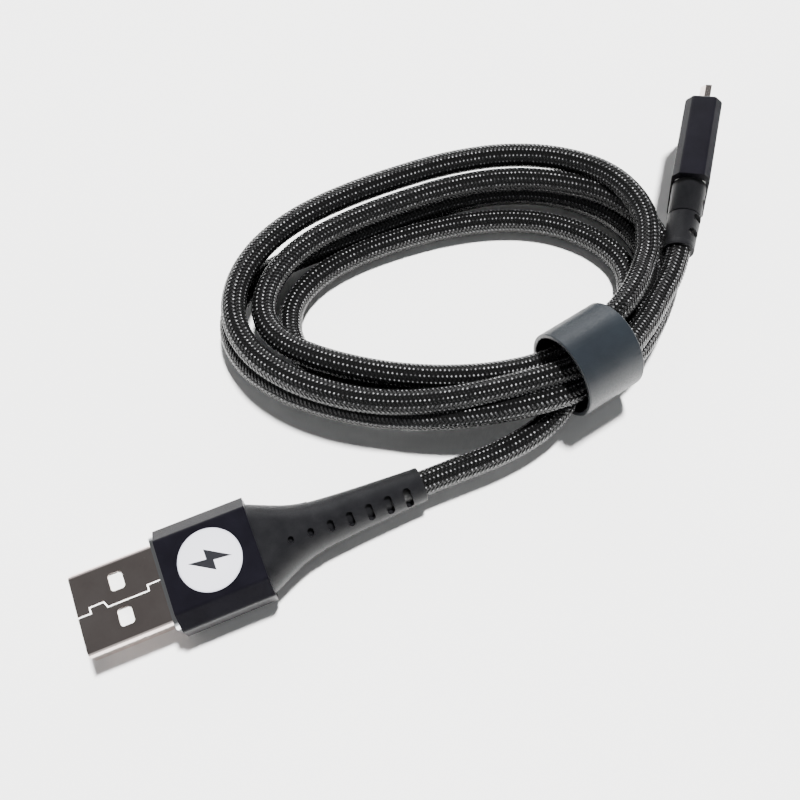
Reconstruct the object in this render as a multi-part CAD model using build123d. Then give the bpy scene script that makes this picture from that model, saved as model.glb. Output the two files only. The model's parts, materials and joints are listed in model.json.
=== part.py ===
from build123d import *
import os
from math import atan2, cos, degrees, hypot, pi, radians, sin, tan

# A braided USB-A to Micro-USB charging cable, wound into a loose coil held by a band.
# Millimetres. X runs along the USB-A plug from its tip towards the cord, Z is up and the
# origin is the bottom centre of the USB-A plug assembly. z = 0 is the table.

# ---- driving dimensions -------------------------------------------------------------
CORD_D = 3.9                    # braided jacket
FIT = 0.05                      # gap between pieces that slip together

PLUG_LENGTH = 51.0              # tip of the shell to the end of the strain relief
HOUSING_W, HOUSING_T = 15.2, 8.0
AXIS_Z = HOUSING_T / 2
TIP_X = -PLUG_LENGTH / 2
RELIEF_END_X = PLUG_LENGTH / 2

SHELL_W, SHELL_T = 12.0, 4.5    # USB-A plug shell, outside
SHELL_WALL = 0.3
SHELL_EXPOSED = 12.0
SHELL_BURIED = 6.0
SHELL_EDGE_R = 1.1
WINDOW_L, WINDOW_W = 2.0, 2.5
WINDOW_PITCH = 5.12
WINDOW_X = 6.16                 # tip to window centre
SEAM_W, SEAM_DEPTH, SEAM_STEP = 0.22, 0.15, 0.85

WIRE_COLOURS = ("red", "white", "green", "black")
WIRE_D, WIRE_GAP = 0.6, 0.25    # gap before the cord's cut end
WIRE_SPREAD = 0.95              # the wires leave the cord this far from its middle
TONGUE_W, TONGUE_T = 11.1, 1.9
CONTACT_W, CONTACT_T = 1.0, 0.25
TAIL_L = 1.0                    # contacts stick out behind the shell
# contact centre line and how far behind the tip it starts: power contacts lead
CONTACTS = ((-3.5, 1.2), (-1.0, 2.2), (1.0, 2.2), (3.5, 1.2))
CONTACT_NAMES = ("vbus", "d_minus", "d_plus", "gnd")

BEZEL_T = 0.6
CRIMP_OD, CRIMP_L = 4.8, 3.0
MICRO_CRIMP_OD = 4.3
CORD_SEAT = 2.6                 # plug shell to the cord's cut end
BLOCK_L = 13.3
BLOCK_BEVEL = 2.2
BLOCK_WALL = 1.0
LABEL_D, LABEL_T, MARK_T = 9.0, 0.12, 0.04

# strain relief: flared sections (distance behind the block, width, thickness), then round
# sections (distance, diameter) down to the cord
RELIEF_FLARE = ((0.0, 13.6, 7.5), (2.2, 11.6, 7.5), (5.0, 9.2, 7.4), (8.5, 7.5, 7.3))
RELIEF_ROUND = ((8.5, 7.3), (13.0, 6.5), (18.5, 5.8), (25.1, 5.1))
SLOT_COUNT, SLOT_PITCH, SLOT_W, SLOT_DEPTH = 7, 2.95, 1.15, 0.75
SLOT_REACH, SLOT_REACH_STEP = 50, 9     # degrees around, and how much each next one loses
SLOT_W_STEP = 0.05              # each next slot is this share narrower
SLOT_START = 112                # where the slots start, degrees from Y
LAST_SLOT_BACK = 2.8            # centre of the last slot from the end
LIP_L = 1.2                     # rounded ring at the end of a strain relief

MICRO_W, MICRO_T, MICRO_BLOCK_L = 12.0, 6.0, 17.0
MICRO_BEVEL = 1.1
MICRO_CAVITY = (9.0, 5.0)
MICRO_SHELL_W, MICRO_SHELL_T, MICRO_EXPOSED = 6.85, 1.8, 4.6
MICRO_SHELL_BURIED, MICRO_WALL = 4.5, 0.25
MICRO_RELIEF_L = 11.0
MICRO_FLARE = ((0.0, 10.2, 5.4), (2.0, 8.2, 5.4), (4.5, 5.7, 5.35))
MICRO_ROUND = ((4.5, 5.4), (7.5, 5.1), (11.0, 4.8))
MICRO_SLOTS, MICRO_SLOT_START = 3, 92
MICRO_LEAN = 11                 # the plug stands on its side and leans to the left
MICRO_HEADING = 52.5            # direction of the plug on the table, degrees from X

TIE_CENTRE = (55.9, 7.45)
TIE_ANGLE = 10.5
TIE_HALF = (6.85, 7.8)          # outside half axes, across and up
TIE_WALL, TIE_W = 0.7, 10.0
TIE_TRAVEL = 2.0
BUNDLE = (5.8, 6.7)             # half axes of the strands inside the band
BUNDLE_HALF = TIE_W / 2 + TIE_TRAVEL + 1.8

COIL_CENTRE = (44.0, 26.5)
COIL_TILT = -15.0
COIL_OUTER = (-1.5, 2.3, 38.5, 23.7)    # centre and half axes in the tilted frame
COIL_INNER = (-0.3, -0.3, 26.0, 13.8)
COIL_HEIGHT = 9.8
COIL_EDGE_R = 2.4

# routes of the cord where it is not coiled
LEAD_A_ROUTE = [(25.5, 0.0, 4.0), (31.2, 0.0, 4.0), (37.8, -0.1, 3.9), (44.0, 0.6, 4.0), (49.0, 2.2, 4.4)]
LEAD_B_ROUTE = [(64.4, 7.6, 8.1), (68.4, 9.7, 7.2), (72.2, 12.4, 6.5), (76.76, 16.63, 6.3), (79.2, 19.8, 6.3)]

parts = {}


def rod(start, end, diameter):
    """A straight cylinder between two points."""
    line = Line(start, end)
    return sweep(Plane(origin=line @ 0, z_dir=line % 0) * Circle(diameter / 2), path=line)


def bar(x0, x1, width, thickness, y=0.0, z=0.0):
    """A box from x0 to x1 whose section is centred at y, z."""
    return Pos((x0 + x1) / 2, y, z) * Box(x1 - x0, width, thickness)


def along_x(section, x0, x1):
    """Extrude a section drawn in Y and Z from x0 to x1."""
    return extrude(Plane(origin=(x0, 0, 0), x_dir=(0, 1, 0), z_dir=(1, 0, 0)) * section, x1 - x0)


def octagon(width, thickness, bevel_w, bevel_t):
    """Section of a block with bevelled long edges."""
    w, t = width / 2, thickness / 2
    points = [(w, t - bevel_t), (w - bevel_w, t), (bevel_w - w, t), (-w, t - bevel_t),
              (-w, bevel_t - t), (bevel_w - w, -t), (w - bevel_w, -t), (w, bevel_t - t)]
    return make_face(Polyline(*points, close=True))


def rounded(width, thickness, radius):
    return RectangleRounded(width, thickness, radius)


def tube_of(section_out, section_in, x0, x1):
    return along_x(section_out, x0, x1) - along_x(section_in, x0 - 1, x1 + 1)


def relief_body(flare, taper, x0):
    """A strain relief that narrows from a block's section to a round end with a lip."""
    faces = []
    for distance, width, thickness in flare:
        plane = Plane(origin=(x0 + distance, 0, 0), x_dir=(0, 1, 0), z_dir=(1, 0, 0))
        faces.append(plane * rounded(width, thickness, thickness * 0.49))
    flared = loft(faces)
    points = [(x0 + distance, diameter / 2) for distance, diameter in taper]
    (x_start, _), (x_end, end_r) = points[0], points[-1]
    outline = Spline(*points) + Polyline(points[-1], (x_end, 0), (x_start, 0), points[0])
    tapered = revolve(make_face(outline), Axis.X)
    lip = along_x(Circle(end_r + 0.05), x_end - LIP_L, x_end)
    return flared + tapered + fillet(lip.edges().filter_by(GeomType.CIRCLE), 0.35)


def relief_radius(taper, distance):
    """Radius of the round part of a strain relief at a distance from its block."""
    for (d0, size0), (d1, size1) in zip(taper, taper[1:]):
        if distance <= d1:
            return (size0 + (size1 - size0) * (distance - d0) / (d1 - d0)) / 2
    return taper[-1][1] / 2


def relief_slot(x, radius, width, start, reach):
    """A round-ended slot that runs part of the way around a strain relief."""
    middle = radius - SLOT_DEPTH + 1.0
    cutter = revolve(Pos(x, middle) * Rectangle(width, 2.0), Axis.X, reach)
    for angle in (0, reach):
        cutter += Rot(angle, 0, 0) * Pos(x, middle, 0) * Rot(90, 0, 0) * Cylinder(width / 2, 2.0)
    return Rot(start, 0, 0) * cutter


# ---- USB-A plug, drawn with its axis on X and moved up to AXIS_Z at the end ----------
block_x = TIP_X + SHELL_EXPOSED + BEZEL_T
block_end = block_x + BLOCK_L
shell_end = TIP_X + SHELL_EXPOSED + SHELL_BURIED
cord_end_x = shell_end + CORD_SEAT
contact_z = SHELL_T / 2 - SHELL_WALL - TONGUE_T + FIT + CONTACT_T / 2


def usb_a_shell():
    inner_r = SHELL_EDGE_R - SHELL_WALL
    outside = rounded(SHELL_W, SHELL_T, SHELL_EDGE_R)
    inside = rounded(SHELL_W - 2 * SHELL_WALL, SHELL_T - 2 * SHELL_WALL, inner_r)
    shell = tube_of(outside, inside, TIP_X, shell_end)
    for side in (-1, 1):
        window = Pos(TIP_X + WINDOW_X, side * WINDOW_PITCH / 2, 0)
        shell -= window * extrude(rounded(WINDOW_L, WINDOW_W, 0.45), 4, both=True)
    # the folded seam: a fine stepped groove along the top
    a, b = -SEAM_STEP / 2, SEAM_STEP / 2
    path = [(0.0, a), (1.8, a), (1.8, b), (3.8, b), (4.2, a), (10.0, a), (10.0, b), (12.0, b)]
    for (x0, y0), (x1, y1) in zip(path, path[1:]):
        length, angle = hypot(x1 - x0, y1 - y0), degrees(atan2(y1 - y0, x1 - x0))
        place = Pos(TIP_X + (x0 + x1) / 2, (y0 + y1) / 2, SHELL_T / 2) * Rot(0, 0, angle)
        shell -= place * Box(length + SEAM_W, SEAM_W, 2 * SEAM_DEPTH)
    return shell


def usb_a_tongue():
    z = SHELL_T / 2 - SHELL_WALL - TONGUE_T / 2
    tongue = bar(TIP_X + 0.4, shell_end - 0.5, TONGUE_W, TONGUE_T - 2 * FIT, 0, z)
    wall = 2 * (SHELL_WALL + FIT)
    tongue &= along_x(rounded(SHELL_W - wall, SHELL_T - wall, SHELL_EDGE_R - SHELL_WALL), TIP_X, shell_end)
    for y, back in CONTACTS:
        bottom = z - TONGUE_T / 2 + FIT
        tongue -= bar(TIP_X + back, shell_end, CONTACT_W + 2 * FIT, 2 * CONTACT_T, y, bottom)
    return tongue


def usb_a_contact(y, back):
    strip = bar(TIP_X + back + FIT, shell_end + TAIL_L, CONTACT_W, CONTACT_T, y, contact_z)
    edge = strip.edges().filter_by(Axis.Y).sort_by(Axis.X)[0:2].sort_by(Axis.Z)[0]
    return chamfer(edge, CONTACT_T * 0.6)


def usb_a_bezel():
    plate = rounded(HOUSING_W - 1.2, HOUSING_T - 1.4, 1.6)
    hole = rounded(SHELL_W + 2 * FIT, SHELL_T + 2 * FIT, SHELL_EDGE_R)
    bezel = tube_of(plate, hole, TIP_X + SHELL_EXPOSED, block_x)
    return bezel


def usb_a_housing():
    outside = octagon(HOUSING_W, HOUSING_T, BLOCK_BEVEL, BLOCK_BEVEL)
    inside = rounded(HOUSING_W - 2 * BLOCK_WALL, HOUSING_T - 2 * BLOCK_WALL, 1.5)
    block = along_x(outside, block_x, block_end)
    long_edges = block.edges().filter_by(Axis.X)
    block = fillet(long_edges, 0.7)
    block -= along_x(inside, block_x - 1, block_end + 1)
    depth = LABEL_T + MARK_T
    pocket = Pos(block_x + BLOCK_L / 2, 0, HOUSING_T / 2) * Cylinder(LABEL_D / 2 + FIT, 2 * depth)
    return block - pocket


def usb_a_inner_mold():
    core = rounded(HOUSING_W - 2 * BLOCK_WALL - 2 * FIT, HOUSING_T - 2 * BLOCK_WALL - 2 * FIT, 1.5 - FIT)
    mold = along_x(core, block_x + FIT, block_end - FIT)
    shell_seat = rounded(SHELL_W + 2 * FIT, SHELL_T + 2 * FIT, SHELL_EDGE_R)
    mold -= along_x(shell_seat, block_x - 1, shell_end + FIT)
    mold -= bar(shell_end - 1, shell_end + 3.2, 9.5, 3.4)
    mold -= along_x(Circle(CRIMP_OD / 2 + FIT), shell_end + 1, block_end + 1)
    return mold



def usb_a_crimp():
    return tube_of(Circle(CRIMP_OD / 2), Circle(CORD_D / 2 + 0.02), cord_end_x + 0.4, cord_end_x + 0.4 + CRIMP_L)


def strain_relief(flare, taper, x0, slots, first):
    relief = relief_body(flare, taper, x0)
    length = taper[-1][0]
    for index in range(slots):
        back = LAST_SLOT_BACK + SLOT_PITCH * index
        radius = relief_radius(taper, length - back)
        width = SLOT_W * (1 - SLOT_W_STEP * index)
        reach = max(2, SLOT_REACH - SLOT_REACH_STEP * index)
        for start in (first, first + 180):
            relief -= relief_slot(x0 + length - back, radius, width, start, reach)
    return relief - along_x(Circle(CORD_D / 2 + 0.02), x0 - 1, x0 + length + 1)


def label_mark():
    """A plain charging bolt, as thin as print."""
    bolt = [(0.5, 3.0), (-1.7, -0.45), (-0.2, -0.45), (-0.5, -3.0), (1.7, 0.45), (0.2, 0.45)]
    return extrude(make_face(Polyline(*bolt, close=True)), MARK_T)


def wires(prefix, starts, end_x, hand, into):
    """Thin insulated wires from the contact tails to the end of the cord."""
    for start, colour, spot in zip(starts, WIRE_COLOURS, (0, 70, 250, 180)):
        inner = (end_x, hand * WIRE_SPREAD * cos(radians(spot)), WIRE_SPREAD * sin(radians(spot)))
        into[prefix + "_wire_" + colour] = rod(start, inner, WIRE_D)


usb_a = {"usb_a_shell": usb_a_shell(), "usb_a_tongue": usb_a_tongue()}
for (y, back), name in zip(CONTACTS, CONTACT_NAMES):
    usb_a["usb_a_contact_" + name] = usb_a_contact(y, back)
usb_a["usb_a_bezel"] = usb_a_bezel()
usb_a["usb_a_housing"] = usb_a_housing()
usb_a["usb_a_inner_mold"] = usb_a_inner_mold()
usb_a["usb_a_crimp"] = usb_a_crimp()
usb_a["usb_a_strain_relief"] = strain_relief(RELIEF_FLARE, RELIEF_ROUND, block_end, SLOT_COUNT, SLOT_START)
usb_a["usb_a_cord_end"] = along_x(Circle(CORD_D / 2), cord_end_x, RELIEF_END_X)
label_x, label_z = block_x + BLOCK_L / 2, HOUSING_T / 2 - MARK_T - LABEL_T
usb_a["usb_a_label"] = Pos(label_x, 0, label_z) * extrude(Circle(LABEL_D / 2), LABEL_T)
usb_a["usb_a_label_mark"] = Pos(label_x, 0, label_z + LABEL_T) * Rot(0, 0, -90) * label_mark()
tails = [(shell_end + TAIL_L + WIRE_GAP, y * 0.8, contact_z) for y, _ in CONTACTS]
wires("usb_a", tails, cord_end_x - WIRE_GAP, -1, usb_a)
for name, shape in usb_a.items():
    parts[name] = Pos(0, 0, AXIS_Z) * shape

# ---- Micro-USB plug, drawn from the relief's end (x = 0) to its tip -------------------
micro_block_x = MICRO_RELIEF_L
micro_front = micro_block_x + MICRO_BLOCK_L
micro_tip = micro_front + MICRO_EXPOSED
micro_shell_back = micro_front - MICRO_SHELL_BURIED
micro_cord_end = micro_shell_back - CORD_SEAT


def micro_outline(width, thickness):
    """The Micro-USB shell's section: one long side is narrower."""
    w, t = width / 2, thickness / 2
    slope = 0.7
    points = [(-w, -0.1 * t), (slope - w, -t), (w - slope, -t), (w, -0.1 * t), (w, t), (-w, t)]
    return make_face(Polyline(*points, close=True))


def micro_shell():
    inner = micro_outline(MICRO_SHELL_W - 2 * MICRO_WALL, MICRO_SHELL_T - 2 * MICRO_WALL)
    shell = tube_of(micro_outline(MICRO_SHELL_W, MICRO_SHELL_T), inner, micro_shell_back, micro_tip)
    for side in (-1, 1):
        slot = bar(micro_tip - 3.6, micro_tip - 1.6, 0.7, 1.0, side * 2.4, -MICRO_SHELL_T / 2)
        shell -= slot
    return shell


def micro_insulator():
    body = bar(micro_shell_back, micro_tip - 0.8, 5.6, 0.5, 0, 0.35)
    for index in range(5):
        body -= bar(micro_shell_back - 1, micro_tip - 1.2, 0.44, 0.24, 0.65 * (index - 2), 0.14)
    return body


def micro_contact(index):
    return bar(micro_shell_back - 0.8, micro_tip - 1.3, 0.4, 0.13, 0.65 * (index - 2), 0.17)


def micro_latches():
    """The two sprung hooks that click into the socket."""
    hooks = []
    for side in (-1, 1):
        arm = bar(micro_tip - 4.6, micro_tip - 1.9, 0.5, 0.15, side * 2.4, -0.38)
        hook = bar(micro_tip - 3.0, micro_tip - 2.2, 0.5, 0.75, side * 2.4, -0.68)
        hooks.append(arm + hook)
    return Compound(children=hooks)


def micro_housing():
    block = along_x(octagon(MICRO_W, MICRO_T, MICRO_BEVEL, MICRO_BEVEL), micro_block_x, micro_front)
    block = fillet(block.edges().filter_by(Axis.X), 0.4)
    block = fillet(block.faces().sort_by(Axis.X)[-1].edges(), 0.9)
    block -= bar(micro_front - 3, micro_front + 1, MICRO_SHELL_W + 2 * FIT, MICRO_SHELL_T + 2 * FIT)
    return block - along_x(rounded(*MICRO_CAVITY, 0.8), micro_block_x - 1, micro_front - 2)


def micro_inner_mold():
    width, thickness = MICRO_CAVITY
    core = rounded(width - 2 * FIT, thickness - 2 * FIT, 0.8 - FIT)
    mold = along_x(core, micro_block_x + FIT, micro_front - 2 - FIT)
    mold -= bar(micro_shell_back - FIT, micro_front, MICRO_SHELL_W + 2 * FIT, MICRO_SHELL_T + 2 * FIT)
    mold -= bar(micro_cord_end, micro_shell_back + 1, 5.6, 2.8)
    return mold - along_x(Circle(MICRO_CRIMP_OD / 2 + FIT), micro_block_x - 1, micro_shell_back - 2)


micro = {"micro_usb_shell": micro_shell(), "micro_usb_insulator": micro_insulator()}
for index, name in enumerate(("vbus", "d_minus", "d_plus", "id", "gnd")):
    micro["micro_usb_contact_" + name] = micro_contact(index)
micro["micro_usb_latches"] = micro_latches()
micro["micro_usb_housing"] = micro_housing()
micro["micro_usb_inner_mold"] = micro_inner_mold()
micro_relief = strain_relief(MICRO_FLARE, MICRO_ROUND, -MICRO_RELIEF_L, MICRO_SLOTS, MICRO_SLOT_START)
micro["micro_usb_strain_relief"] = Rot(0, 0, 180) * micro_relief
micro["micro_usb_cord_end"] = along_x(Circle(CORD_D / 2), 0, micro_cord_end)
micro["micro_usb_crimp"] = tube_of(Circle(MICRO_CRIMP_OD / 2), Circle(CORD_D / 2 + 0.02), micro_block_x + 0.3, micro_cord_end - 0.3)
micro_tails = [(micro_shell_back - 0.8 - WIRE_GAP, side * 1.25, 0.2) for side in (1.5, 0.5, -0.5, -1.5)]
wires("micro_usb", micro_tails, micro_cord_end + WIRE_GAP, 1, micro)
relief_end = LEAD_B_ROUTE[-1]
micro_floor = Pos(relief_end[0], relief_end[1], 0) * Rot(0, 0, MICRO_HEADING)
micro_place = micro_floor * Pos(0, 0, relief_end[2]) * Rot(90 - MICRO_LEAN, 0, 0)
for name, shape in micro.items():
    parts[name] = micro_place * shape

# ---- the band around the bundle ------------------------------------------------------
tie_place = Pos(TIE_CENTRE[0], TIE_CENTRE[1], TIE_HALF[1]) * Rot(0, 0, TIE_ANGLE)
band_inside = [half - TIE_WALL for half in TIE_HALF]
band = tube_of(Ellipse(*TIE_HALF), Ellipse(*band_inside), -TIE_W / 2, TIE_W / 2)
band = fillet(band.edges().filter_by(GeomType.LINE, reverse=True), 0.2)
parts["tie_band"] = tie_place * band


# ---- the cord ------------------------------------------------------------------------
def corner_radii(route):
    """0.45 of the shorter run beside each corner, over the tangent of half the turn."""
    radii = []
    for before, corner, after in zip(route, route[1:], route[2:]):
        run_in = Vector(*corner) - Vector(*before)
        run_out = Vector(*after) - Vector(*corner)
        half_turn = radians(run_in.get_angle(run_out)) / 2
        radii.append(0.45 * min(run_in.length, run_out.length) / tan(half_turn))
    return radii


def cord_tube(name, route):
    radii = corner_radii(route)
    print(name, "radii in mm:", [round(r, 1) for r in radii], "length", end=" ")
    path = FilletPolyline(*route, radius=radii)
    tube = sweep(Plane(origin=path @ 0, z_dir=path % 0) * Circle(CORD_D / 2), path=path)
    print(round(path.length, 1), "volume over section times length", end=" ")
    print(round(tube.volume / (pi * CORD_D ** 2 / 4 * path.length), 4))
    return tube


def oval(spec, height, below=0.0):
    x, y, half_x, half_y = spec
    face = Pos(x, y, -below) * Ellipse(half_x, half_y)
    return extrude(face, height + 2 * below)


def coil_solid():
    """The outer shape of the wound turns, with the tight bundle inside the band."""
    ring = fillet(oval(COIL_OUTER, COIL_HEIGHT).faces().sort_by(Axis.Z)[-1].edges(), COIL_EDGE_R)
    ring -= oval(COIL_INNER, COIL_HEIGHT, 1.0)
    ring = Pos(*COIL_CENTRE, 0) * Rot(0, 0, COIL_TILT) * ring
    ring -= tie_place * Box(2 * BUNDLE_HALF - 2, 30, 40)
    # room for the lead that climbs out of the band beside the turns
    (x0, y0, _), (x1, y1, _) = LEAD_B_ROUTE[0], LEAD_B_ROUTE[-1]
    heading = degrees(atan2(y1 - y0, x1 - x0))
    ring -= Pos(x0, y0, 0) * Rot(0, 0, heading) * Pos(15, -10 + CORD_D / 2 + 0.5, 0) * Box(70, 20, 40)
    ring -= micro_floor * Pos(20, -10 + MICRO_ROUND[0][1] / 2 + 0.3, 0) * Box(50, 20, 40)
    bundle = tie_place * along_x(Ellipse(*BUNDLE), -BUNDLE_HALF, BUNDLE_HALF)
    return ring + bundle


coil = coil_solid()
parts["cable_lead_a"] = cord_tube("lead_a", LEAD_A_ROUTE) - coil
parts["cable_lead_b"] = cord_tube("lead_b", LEAD_B_ROUTE) - coil
parts["cable_coil"] = coil

os.makedirs("parts", exist_ok=True)
for name, shape in parts.items():
    shape.label = name
    export_step(shape, f"parts/{name}.step")
print(len(parts), "nodes")
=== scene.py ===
"""Looks for a braided USB-A to Micro-USB charging cable, coiled in a band.

Everything is in metres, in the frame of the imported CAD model.
"""
import bpy
import numpy as np
from math import cos, hypot, pi, radians, sin
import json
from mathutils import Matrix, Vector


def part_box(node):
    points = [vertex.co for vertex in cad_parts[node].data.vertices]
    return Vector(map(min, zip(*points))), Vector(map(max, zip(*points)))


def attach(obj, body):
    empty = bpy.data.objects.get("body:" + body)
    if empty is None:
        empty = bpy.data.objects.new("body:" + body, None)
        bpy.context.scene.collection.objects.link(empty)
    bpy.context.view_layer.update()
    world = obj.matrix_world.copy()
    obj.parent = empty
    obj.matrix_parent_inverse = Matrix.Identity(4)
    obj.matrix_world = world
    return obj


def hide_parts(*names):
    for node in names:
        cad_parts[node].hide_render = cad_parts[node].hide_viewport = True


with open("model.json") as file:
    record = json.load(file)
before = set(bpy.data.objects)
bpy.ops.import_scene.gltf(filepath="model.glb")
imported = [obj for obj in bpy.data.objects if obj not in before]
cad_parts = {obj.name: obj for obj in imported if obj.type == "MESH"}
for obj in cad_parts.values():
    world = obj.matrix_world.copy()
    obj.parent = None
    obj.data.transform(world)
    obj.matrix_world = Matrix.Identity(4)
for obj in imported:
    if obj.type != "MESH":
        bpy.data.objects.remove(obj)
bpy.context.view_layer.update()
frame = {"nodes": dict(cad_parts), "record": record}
nodes = frame["nodes"]
MM = 0.001
SHELL_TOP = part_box("usb_a_shell")[1].z
SEAM_FLOOR = (0.2 * MM, 0.05 * MM)      # how far below the shell's top the seam's floor lies
SEAM_REACH = 0.7 * MM                   # from the middle of the shell to the seam's far side
MIX_FACTOR, MIX_A, MIX_B, MIX_RESULT = 0, 6, 7, 2       # the Mix node's sockets for colours


# ---- materials -----------------------------------------------------------------------
class Shade:
    """A node material with a Principled shader, and short names for the nodes it uses."""

    def __init__(self, name, color, rough=0.5, metal=0.0, **sockets):
        self.mat = bpy.data.materials.new(name)
        self.mat.use_nodes = True
        self.tree = self.mat.node_tree
        self.shader = self.tree.nodes["Principled BSDF"]
        self.set("Base Color", (*color, 1))
        self.set("Roughness", rough)
        self.set("Metallic", metal)
        for key, value in sockets.items():
            self.set(key.replace("_", " "), value)

    def set(self, socket, value):
        self.shader.inputs[socket].default_value = value

    def add(self, kind, inputs=(), **props):
        n = self.tree.nodes.new("ShaderNode" + kind)
        for key, value in props.items():
            setattr(n, key, value)
        for key, value in dict(inputs).items():
            if isinstance(value, bpy.types.NodeSocket):
                self.tree.links.new(value, n.inputs[key])
            else:
                n.inputs[key].default_value = value
        return n

    def place(self, scale=(1, 1, 1)):
        """Object coordinates, stretched."""
        source = self.add("TexCoord").outputs["Object"]
        return self.add("Mapping", {"Vector": source, "Scale": scale}).outputs[0]

    def noise(self, scale, detail=4.0, rough=0.6, stretch=(1, 1, 1)):
        return self.add("TexNoise", {"Vector": self.place(stretch), "Scale": scale,
                                     "Detail": detail, "Roughness": rough}).outputs["Fac"]

    def speckle(self, scale):
        return self.add("TexVoronoi", {"Vector": self.place(), "Scale": scale}).outputs["Distance"]

    def ramp(self, factor, *stops):
        """A colour ramp from (position, colour) stops."""
        n = self.add("ValToRGB", {"Fac": factor})
        elements = n.color_ramp.elements
        while len(elements) < len(stops):
            elements.new(0.5)
        for element, (position, color) in zip(elements, stops):
            element.position = position
            element.color = (*color, 1) if hasattr(color, "__len__") else (color, color, color, 1)
        return n.outputs["Color"]

    def math(self, operation, a, b=0.0):
        return self.add("Math", {0: a, 1: b}, operation=operation).outputs[0]

    def span(self, factor, low, high, start=0.0, end=1.0):
        return self.add("MapRange", {"Value": factor, "From Min": start, "From Max": end,
                                     "To Min": low, "To Max": high}).outputs[0]

    def mix(self, factor, a, b):
        n = self.add("Mix", data_type="RGBA")
        for index, value in ((MIX_FACTOR, factor), (MIX_A, a), (MIX_B, b)):
            if isinstance(value, bpy.types.NodeSocket):
                self.tree.links.new(value, n.inputs[index])
            elif index != MIX_FACTOR:
                n.inputs[index].default_value = (*value, 1)
            else:
                n.inputs[index].default_value = value
        return n.outputs[MIX_RESULT]

    def color(self, source):
        self.tree.links.new(source, self.shader.inputs["Base Color"])

    def rough(self, source):
        self.tree.links.new(source, self.shader.inputs["Roughness"])

    def bump(self, height, distance, strength=1.0):
        inputs = {"Height": height, "Distance": distance, "Strength": strength}
        self.tree.links.new(self.add("Bump", inputs).outputs[0], self.shader.inputs["Normal"])


def plug_steel():
    """Nickel-plated steel, dark and mirror-like, with faint lengthwise scratches."""
    s = Shade("plug_steel", (0.8, 0.69, 0.65), 0.14, 1.0)
    scratches = s.noise(3500, 3, 0.6, (0.06, 1, 1))
    cloud = s.noise(220, 3)
    metal = s.ramp(cloud, (0.3, (0.76, 0.65, 0.61)), (0.7, (0.86, 0.75, 0.71)))
    # painted highlight: the floor of the folded seam is painted pale and matt, in place of the light it
    # catches
    spot = s.add("SeparateXYZ", {0: s.place()}).outputs
    low = s.math("LESS_THAN", spot["Z"], SHELL_TOP - SEAM_FLOOR[1])
    high = s.math("GREATER_THAN", spot["Z"], SHELL_TOP - SEAM_FLOOR[0])
    near = s.math("LESS_THAN", s.math("ABSOLUTE", spot["Y"]), SEAM_REACH)
    seam = s.math("MULTIPLY", s.math("MULTIPLY", low, high), near)
    s.color(s.mix(seam, metal, (0.95, 0.94, 0.92)))
    s.rough(s.span(seam, 0.10, 0.7))
    s.tree.links.new(s.span(seam, 1.0, 0.0), s.shader.inputs["Metallic"])
    s.bump(scratches, 0.002 * MM)
    return s.mat


def bright_trim():
    s = Shade("bright_trim", (0.86, 0.86, 0.87), 0.16, 1.0)
    s.rough(s.span(s.noise(2500, 2, 0.5, (1, 0.1, 1)), 0.1, 0.26))
    return s.mat


def crimp_steel():
    s = Shade("crimp_steel", (0.6, 0.6, 0.6), 0.35, 1.0)
    s.rough(s.span(s.noise(3000), 0.25, 0.45))
    return s.mat


def gold_contact():
    s = Shade("gold_contact", (0.86, 0.62, 0.24), 0.2, 1.0)
    s.rough(s.span(s.noise(4000, 3, 0.6, (0.1, 1, 1)), 0.14, 0.34))
    return s.mat


def blue_black_alloy():
    """Anodised block: nearly black with a blue cast and a fine blasted grain."""
    s = Shade("blue_black_alloy", (0.004, 0.004, 0.005), 0.34, Specular_IOR_Level=0.1)
    grain = s.noise(9000, 2, 0.7)
    cloud = s.noise(260, 3)
    s.color(s.ramp(cloud, (0.25, (0.0028, 0.0026, 0.0038)), (0.75, (0.0045, 0.0042, 0.0062))))
    s.rough(s.span(grain, 0.26, 0.46, 0.3, 0.7))
    s.bump(grain, 0.012 * MM, 0.9)
    return s.mat


def soft_relief():
    """Matt dark rubber with a fine moulded texture."""
    s = Shade("soft_relief", (0.012, 0.012, 0.013), 0.55, Specular_IOR_Level=0.3)
    grain = s.noise(7000, 3, 0.6)
    s.color(s.ramp(s.noise(400, 4), (0.3, (0.004, 0.004, 0.0046)), (0.7, (0.0075, 0.0075, 0.0083))))
    s.rough(s.span(grain, 0.42, 0.66, 0.3, 0.7))
    s.bump(grain, 0.012 * MM, 0.8)
    return s.mat


def band_rubber():
    """Smooth blue-grey silicone."""
    s = Shade("band_rubber", (0.009, 0.011, 0.0135), 0.42, Specular_IOR_Level=0.4)
    grain = s.noise(3500, 3, 0.5)
    s.color(s.ramp(s.noise(180, 3), (0.3, (0.0075, 0.0092, 0.0115)), (0.7, (0.0105, 0.013, 0.016))))
    s.rough(s.span(grain, 0.34, 0.52, 0.3, 0.7))
    s.bump(grain, 0.006 * MM, 0.6)
    return s.mat


def plastic(name, color, rough=0.4):
    s = Shade(name, color, rough)
    s.color(s.ramp(s.noise(900, 3), (0.3, tuple(0.88 * c for c in color)), (0.7, color)))
    s.bump(s.noise(5000, 2), 0.004 * MM)
    return s.mat


def label_paper():
    """White glossy film, greyer towards its cut edge."""
    low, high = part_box("usb_a_label")
    centre, radius = (low + high) / 2, (high.x - low.x) / 2
    s = Shade("label_paper", (0.56, 0.56, 0.60), 0.32)
    place = s.add("TexCoord").outputs["Object"]
    gap = s.add("VectorMath", {0: place, 1: centre}, operation="DISTANCE").outputs["Value"]
    share = s.math("DIVIDE", gap, radius)
    s.color(s.ramp(share, (0.0, (0.56, 0.56, 0.60)), (0.93, (0.53, 0.53, 0.58)), (1.0, (0.38, 0.38, 0.43))))
    s.bump(s.noise(1500, 3), 0.003 * MM)
    return s.mat


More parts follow.
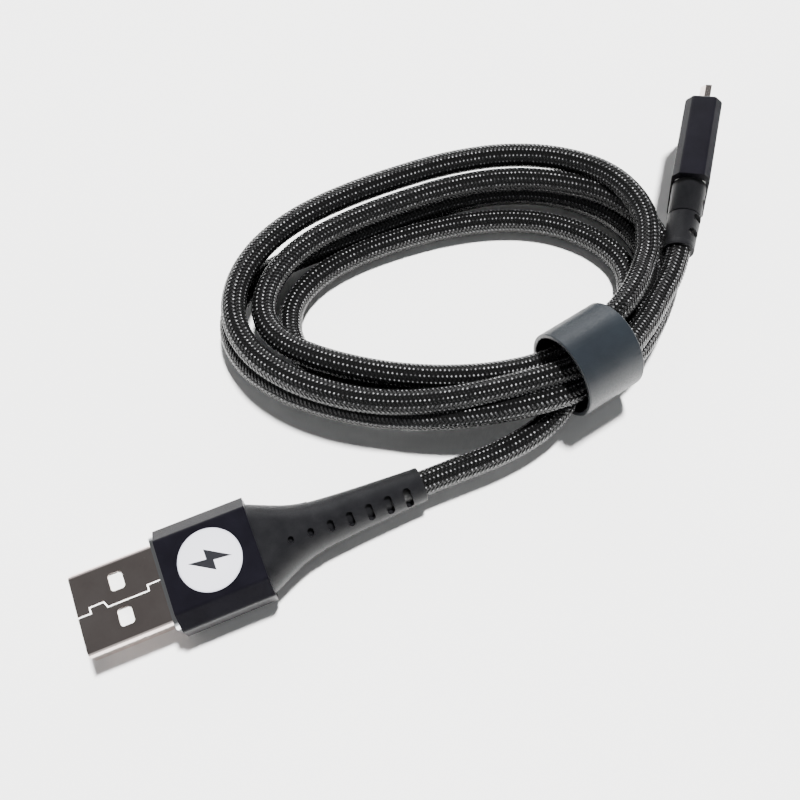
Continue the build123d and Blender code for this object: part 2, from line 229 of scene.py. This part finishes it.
def braid_yarn():
    """Black glossy nylon yarn, with pale colour painted on the middle of its crowns in random patches: a
    painted highlight where the crowns would catch the light.
    """
    s = Shade("braid_yarn", (0.004, 0.004, 0.005), 0.22, Specular_IOR_Level=0.4)
    crown = s.add("Attribute", attribute_name="crown").outputs["Fac"]
    across = s.add("Attribute", attribute_name="across").outputs["Fac"]
    filaments = s.math("ABSOLUTE", s.math("SINE", s.math("MULTIPLY", across, 2.5 * pi)))
    middle = s.math("SUBTRACT", 1.0, s.math("ABSOLUTE", across))
    # painted highlight: pale colour on the middle of the crowns, in random patches
    glint_patches = s.ramp(s.noise(1100, 2, 0.6), (0.40, 0.1), (0.58, 1.0))
    painted_glint = s.math("MULTIPLY", s.span(crown, 0.0, 1.0, 0.91, 0.99), s.span(middle, 0.0, 1.0, 0.5, 0.95))
    # painted shade: the yarn is painted darker in the grooves between its filaments
    dark = s.ramp(filaments, (0.0, 0.001), (1.0, 0.004))
    s.color(s.mix(s.math("MULTIPLY", painted_glint, glint_patches), dark, (0.42, 0.42, 0.43)))
    s.rough(s.span(filaments, 0.36, 0.2))
    s.bump(filaments, 0.02 * MM, 0.6)
    return s.mat


def cord_core():
    s = Shade("cord_core", (0.003, 0.003, 0.003), 0.7)
    s.color(s.ramp(s.noise(2500, 2), (0.3, 0.002), (0.7, 0.004)))
    return s.mat


def braid_tube():
    """The cord's ends inside the strain reliefs: woven by shader alone."""
    s = Shade("braid_end", (0.004, 0.004, 0.004), 0.4)
    s.color(s.ramp(s.speckle(1400), (0.1, 0.03), (0.5, 0.003)))
    s.bump(s.speckle(1400), 0.08 * MM)
    return s.mat


materials = {
    "plug_steel": plug_steel(), "bright_trim": bright_trim(), "crimp_steel": crimp_steel(),
    "gold_contact": gold_contact(), "blue_black_alloy": blue_black_alloy(),
    "white_insulator": plastic("white_insulator", (0.85, 0.85, 0.83)),
    "black_insulator": plastic("black_insulator", (0.006, 0.006, 0.006)),
    "inner_plastic": plastic("inner_plastic", (0.5, 0.5, 0.48), 0.6),
    "soft_relief": soft_relief(), "label_paper": label_paper(),
    "label_print": plastic("label_print", (0.012, 0.012, 0.014)), "band_rubber": band_rubber(),
    "braid": braid_tube(),
    "wire_red": plastic("wire_red", (0.5, 0.02, 0.015)),
    "wire_white": plastic("wire_white", (0.7, 0.7, 0.7)),
    "wire_green": plastic("wire_green", (0.02, 0.25, 0.05)),
    "wire_black": plastic("wire_black", (0.01, 0.01, 0.01)),
}
for part in frame["record"]["subparts"]:
    mesh = nodes[part["node"]].data
    mesh.materials.clear()
    mesh.materials.append(materials[part["material_slot"]])

# ---- the cord's route ------------------------------------------------------------------
LEAD_A = [(25.5, 0.0, 4.0), (31.2, 0.0, 4.0), (37.8, -0.1, 3.9), (44.0, 0.6, 4.0), (49.0, 2.2, 4.4)]
LEAD_B = [(64.2, 7.8, 8.1), (68.0, 10.1, 7.2), (71.6, 13.0, 6.5), (76.6, 16.7, 6.3), (79.2, 19.8, 6.3)]
COIL_CENTRE, COIL_TILT = (44.0, 26.5), radians(-15)
COIL_HALF = (34.5, 19.0)        # the oval that the turns are offset from
STEPS = 22                      # points on each turn
RAISE = 0.2                     # added to every height below
# each turn runs from the band's right mouth round to its left one; at these angles it lies
# so far outside the oval and so high
STATIONS = (-50, -25, 0, 15, 30, 45, 60, 120, 180, 235, 290)
TURNS = (
    ((-1.6, 2.9), (-6.0, 1.9), (-6.8, 1.8), (-5.9, 1.8), (-4.6, 1.8), (-3.5, 1.8),
     (-2.8, 1.8), (-5.1, 1.8), (-6.3, 1.8), (-2.1, 4.0), (-0.6, 3.0)),
    ((-5.1, 5.6), (-4.6, 5.0), (-3.7, 3.5), (-1.9, 2.6), (1.2, 1.9), (2.8, 1.9),
     (2.9, 2.2), (-2.0, 2.2), (3.5, 3.0), (2.4, 4.3), (3.0, 8.2)),
    ((1.6, 5.5), (-1.4, 3.7), (-0.5, 2.9), (1.2, 3.8), (2.6, 4.9), (3.8, 5.2),
     (3.2, 5.6), (-1.1, 5.7), (-2.4, 5.8), (-3.5, 7.6), (-3.4, 6.2)),
    ((-4.6, 9.9), (-6.4, 8.8), (-5.8, 7.6), (-3.4, 7.7), (1.8, 8.1), (5.8, 7.6),
     (7.0, 7.2), (2.9, 7.2), (2.3, 7.2), (1.6, 7.8), (-0.1, 9.6)),
)
LEFT_MOUTH, RIGHT_MOUTH = (-68, 1.7, 5.3), (-50, 0.5, 8.9)     # where the leads pass the band


def oval_point(degrees, outward, height):
    """A point so far outside the oval, in mm."""
    half_x, half_y = COIL_HALF
    c, s = cos(radians(degrees)), sin(radians(degrees))
    size = hypot(c / half_x, s / half_y)
    x, y = half_x * c + outward * c / half_x / size, half_y * s + outward * s / half_y / size
    return (COIL_CENTRE[0] + x * cos(COIL_TILT) - y * sin(COIL_TILT),
            COIL_CENTRE[1] + x * sin(COIL_TILT) + y * cos(COIL_TILT), height)


def turn_points(turn):
    points = []
    for angle in np.linspace(STATIONS[0], STATIONS[-1], STEPS + 1):
        i = min(np.searchsorted(STATIONS, angle, "right"), len(STATIONS) - 1)
        share = (angle - STATIONS[i - 1]) / (STATIONS[i] - STATIONS[i - 1])
        ease = (1 - cos(pi * share)) / 2
        outward, height = (a + (b - a) * ease for a, b in zip(turn[i - 1], turn[i]))
        points.append(oval_point(angle, outward, height + RAISE))
    return points


route = LEAD_A + [oval_point(*LEFT_MOUTH)]
for turn in TURNS:
    route += turn_points(turn)
route += [oval_point(*RIGHT_MOUTH)] + LEAD_B


def cord_curve(name, radius):
    data = bpy.data.curves.new(name, "CURVE")
    data.dimensions = "3D"
    data.resolution_u = 8
    spline = data.splines.new("NURBS")
    spline.points.add(len(route) - 1)
    for point, at in zip(spline.points, route):
        point.co = (*(MM * v for v in at), 1)
    spline.order_u = 3
    spline.use_endpoint_u = True
    data.bevel_depth = radius
    data.bevel_resolution = 4
    obj = bpy.data.objects.new(name, data)
    bpy.context.scene.collection.objects.link(obj)
    return obj


CORE_R = 1.60 * MM
thread = cord_curve("route_line", 0.0)
line = bpy.data.meshes.new_from_object(thread)
path = np.array([v.co for v in line.vertices], float)
bpy.data.objects.remove(thread)


def even(points, step):
    """The same line with evenly spaced points."""
    run = np.r_[0, np.cumsum(np.linalg.norm(np.diff(points, axis=0), axis=1))]
    at = np.linspace(0, run[-1], int(run[-1] / step) + 1)
    return at, np.stack([np.interp(at, run, points[:, k]) for k in range(3)], 1)


def unit(v):
    return v / np.linalg.norm(v, axis=-1, keepdims=True)


def frames(points):
    """Along, side and up directions at each point, turning as little as possible."""
    along = unit(np.gradient(points, axis=0))
    side = np.zeros_like(points)
    side[0] = unit(np.cross(along[0], (0, 0, 1)))
    for i in range(1, len(points)):
        side[i] = unit(side[i - 1] - along[i] * np.dot(side[i - 1], along[i]))
    return along, side, np.cross(along, side)


# ---- braid -------------------------------------------------------------------------------
YARNS = 12                      # each way round, in two pieces
PITCH = 8.0 * MM                # one turn of a yarn
YARN_W, YARN_T = 0.65 * MM, 0.19 * MM
BRAID_R, WAVE = 1.77 * MM, 0.085 * MM
PER_WAVE = 6                    # points on one over-two-under-two wave
SQUARENESS = 1.6                # how flat a yarn runs between its crossings
# one yarn's section: shares of its width and thickness
PROFILE = ((-0.5, -0.3), (-0.27, 0.42), (0.27, 0.42), (0.5, -0.3))

wave_length = 4 * PITCH / (2 * YARNS)
at, centre = even(path, wave_length / PER_WAVE)
along, side, up = frames(centre)


def yarn(number, way):
    """Vertices of one yarn, with how near it is to a crown and where it is across."""
    turn = 2 * pi * at / PITCH
    crossing = 2 * YARNS * at / PITCH
    phase = crossing + 2 * number - 0.5 if way > 0 else 2 * number - crossing - 0.5
    wave = way * np.cos(2 * pi * phase / 4)
    lift = np.tanh(SQUARENESS * wave) / np.tanh(SQUARENESS)
    lean = np.arctan2(2 * pi * BRAID_R, PITCH)
    points, crowns, acrosses = [], [], []
    for across, height in PROFILE:
        off = across * YARN_W
        angle = way * turn + 2 * pi * number / YARNS + off * cos(lean) / BRAID_R
        radius = BRAID_R + WAVE * lift + height * YARN_T
        points.append(centre - way * off * sin(lean) * along
                      + (radius * np.cos(angle))[:, None] * side + (radius * np.sin(angle))[:, None] * up)
        crowns.append((wave + 1) / 2 * (1 if height > 0 else 0.4))
        acrosses.append(np.full(len(at), 2 * across))
    return np.stack(points, 1), np.stack(crowns, 1), np.stack(acrosses, 1)


def braid_mesh(name, way, numbers):
    """Some of the yarns that wind one way."""
    made = [yarn(number, way) for number in numbers]
    count, ring = len(at), len(PROFILE)
    cells = np.arange(count - 1)[:, None] * ring + np.arange(ring)[None]
    turned = np.arange(count - 1)[:, None] * ring + (np.arange(ring)[None] + 1) % ring
    quads = np.stack([cells, turned, turned + ring, cells + ring], -1).reshape(-1, 4)
    faces = np.concatenate([quads + k * count * ring for k in range(len(made))])
    mesh = bpy.data.meshes.new(name)
    verts = np.concatenate([m[0].reshape(-1, 3) for m in made])
    mesh.vertices.add(len(verts))
    mesh.vertices.foreach_set("co", verts.ravel().astype(np.float32))
    mesh.loops.add(faces.size)
    mesh.loops.foreach_set("vertex_index", faces.ravel().astype(np.int32))
    mesh.polygons.add(len(faces))
    mesh.polygons.foreach_set("loop_start", np.arange(0, faces.size, 4, dtype=np.int32))
    for key, column in (("crown", 1), ("across", 2)):
        layer = mesh.attributes.new(key, "FLOAT", "POINT")
        layer.data.foreach_set("value", np.concatenate([m[column].ravel() for m in made]).astype(np.float32))
    mesh.update(calc_edges=True)
    mesh.validate()
    mesh.shade_smooth()
    obj = bpy.data.objects.new(name, mesh)
    bpy.context.scene.collection.objects.link(obj)
    return obj


cord = cord_curve("cable_cord", CORE_R)
cord.data.materials.append(cord_core())
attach(cord, "cable")
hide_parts("cable_lead_a", "cable_lead_b", "cable_coil")
yarn_material = braid_yarn()
braids = [braid_mesh(f"cable_braid_{hand}_{half + 1}", way, range(half, YARNS, 2))
          for hand, way in (("right", 1), ("left", -1)) for half in (0, 1)]
for piece in braids:
    piece.data.materials.append(yarn_material)
    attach(piece, "cable")

# ---- floor, light, camera ----------------------------------------------------------------
FLOOR_SIZE = 3.0
bpy.ops.mesh.primitive_plane_add(size=FLOOR_SIZE)
floor = bpy.context.object
floor.name = "floor"
paper = Shade("floor", (0.86, 0.855, 0.845), 0.6)
paper.color(paper.ramp(paper.noise(9, 2), (0.3, (0.84, 0.835, 0.825)), (0.7, (0.87, 0.865, 0.855))))
floor.data.materials.append(paper.mat)

# dark overhead and pale near the horizon, so that top faces look dark and sides light
FADE = (0.30, 0.62)             # shares of the way up, between which the sky darkens
SKY_STRENGTH = (0.9, 0.13)      # near the horizon, overhead
world = bpy.data.worlds.new("studio")
world.use_nodes = True
sky = world.node_tree
height = sky.nodes.new("ShaderNodeSeparateXYZ")
fade = sky.nodes.new("ShaderNodeMapRange")
for socket, value in (("From Min", FADE[0]), ("From Max", FADE[1]),
                      ("To Min", SKY_STRENGTH[0]), ("To Max", SKY_STRENGTH[1])):
    fade.inputs[socket].default_value = value
sky.links.new(sky.nodes.new("ShaderNodeTexCoord").outputs["Generated"], height.inputs[0])
sky.links.new(height.outputs["Z"], fade.inputs["Value"])
sky.links.new(fade.outputs[0], sky.nodes["Background"].inputs["Strength"])
sky.nodes["Background"].inputs["Color"].default_value = (0.96, 0.98, 1.0, 1)
bpy.context.scene.world = world

VIEW_HEADING = radians(22.4)    # the camera looks this far to the right of +Y
LAMP_AIM = (0.04, 0.02, 0.0)    # what the lamps point at


def lamp(name, kind, energy, heading, height, distance=1.0, size=0.3):
    """A light on the far side of the view, turned by heading, at so many degrees up."""
    data = bpy.data.lights.new(name, kind)
    data.energy = energy
    if kind == "SUN":
        data.angle = size
    else:
        data.shape = "DISK"
        data.size = size
    light = bpy.data.objects.new(name, data)
    bpy.context.scene.collection.objects.link(light)
    turn = VIEW_HEADING + radians(heading)
    rise = radians(height)
    out = np.array((sin(turn) * cos(rise), cos(turn) * cos(rise), sin(rise)))
    light.location = np.array(LAMP_AIM) + out * distance
    light.rotation_euler = (radians(90 - height), 0, pi - turn)
    return light


# the key gives the shadows, and the low window behind gives the gloss along far edges
lamp("key", "SUN", 17.0, 20, 70, size=radians(7)).visible_glossy = False
lamp("window", "AREA", 0.9, -4, 30, 0.55, 0.25)

CAMERA_AT = (0.0079, -0.03443, 0.1265)
CAMERA_TILT = radians(23)       # from straight down
LENS, SENSOR = 39.0, 36.0
camera_data = bpy.data.cameras.new("camera")
camera_data.lens = LENS
camera_data.sensor_width = SENSOR
camera_data.clip_start = 0.002
camera = bpy.data.objects.new("camera", camera_data)
camera.location = CAMERA_AT
camera.rotation_euler = (CAMERA_TILT, 0, -VIEW_HEADING)
bpy.context.scene.collection.objects.link(camera)
bpy.context.scene.camera = camera
